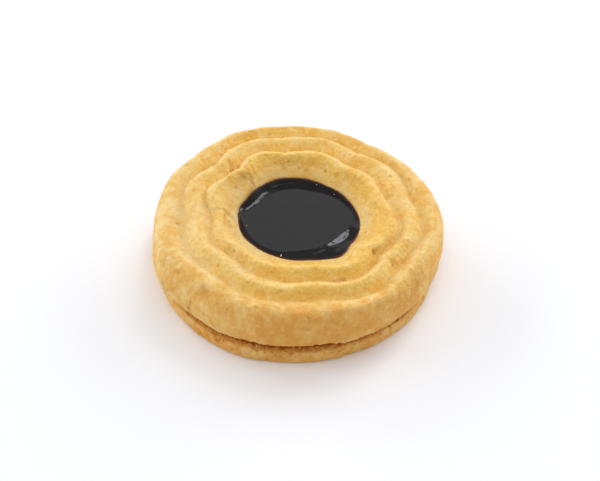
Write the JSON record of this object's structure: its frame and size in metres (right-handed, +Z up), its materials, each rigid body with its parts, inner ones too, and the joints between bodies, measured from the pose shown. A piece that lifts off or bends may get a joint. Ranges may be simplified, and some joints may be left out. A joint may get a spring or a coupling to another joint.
{
  "type": "filled shortbread cookie",
  "caption": "Round shortbread cookie: a plain base biscuit under a piped ring of dough with soft concentric ridges, its open middle filled with glossy dark jam.",
  "frame": {"origin": "centre of the flat underside of the base biscuit, on the surface that the cookie rests on", "axes": "+Z up through the middle of the jam, -Y towards the side shown nearest in the picture, +X to its right"},
  "size_m": [0.06, 0.0597, 0.0151],
  "materials": {
    "base_dough": "baked shortbread, dry and finely crumbly, darker at the edge",
    "ring_dough": "baked piped shortbread, dry, pale gold on top and browner on the wall",
    "dark_jam": "set dark fruit jam, smooth and wet looking"
  },
  "bodies": {
    "root": {"base_biscuit": "base_dough", "ridged_ring": "ring_dough", "jam_filling": "dark_jam"}
  },
  "joints": []
}
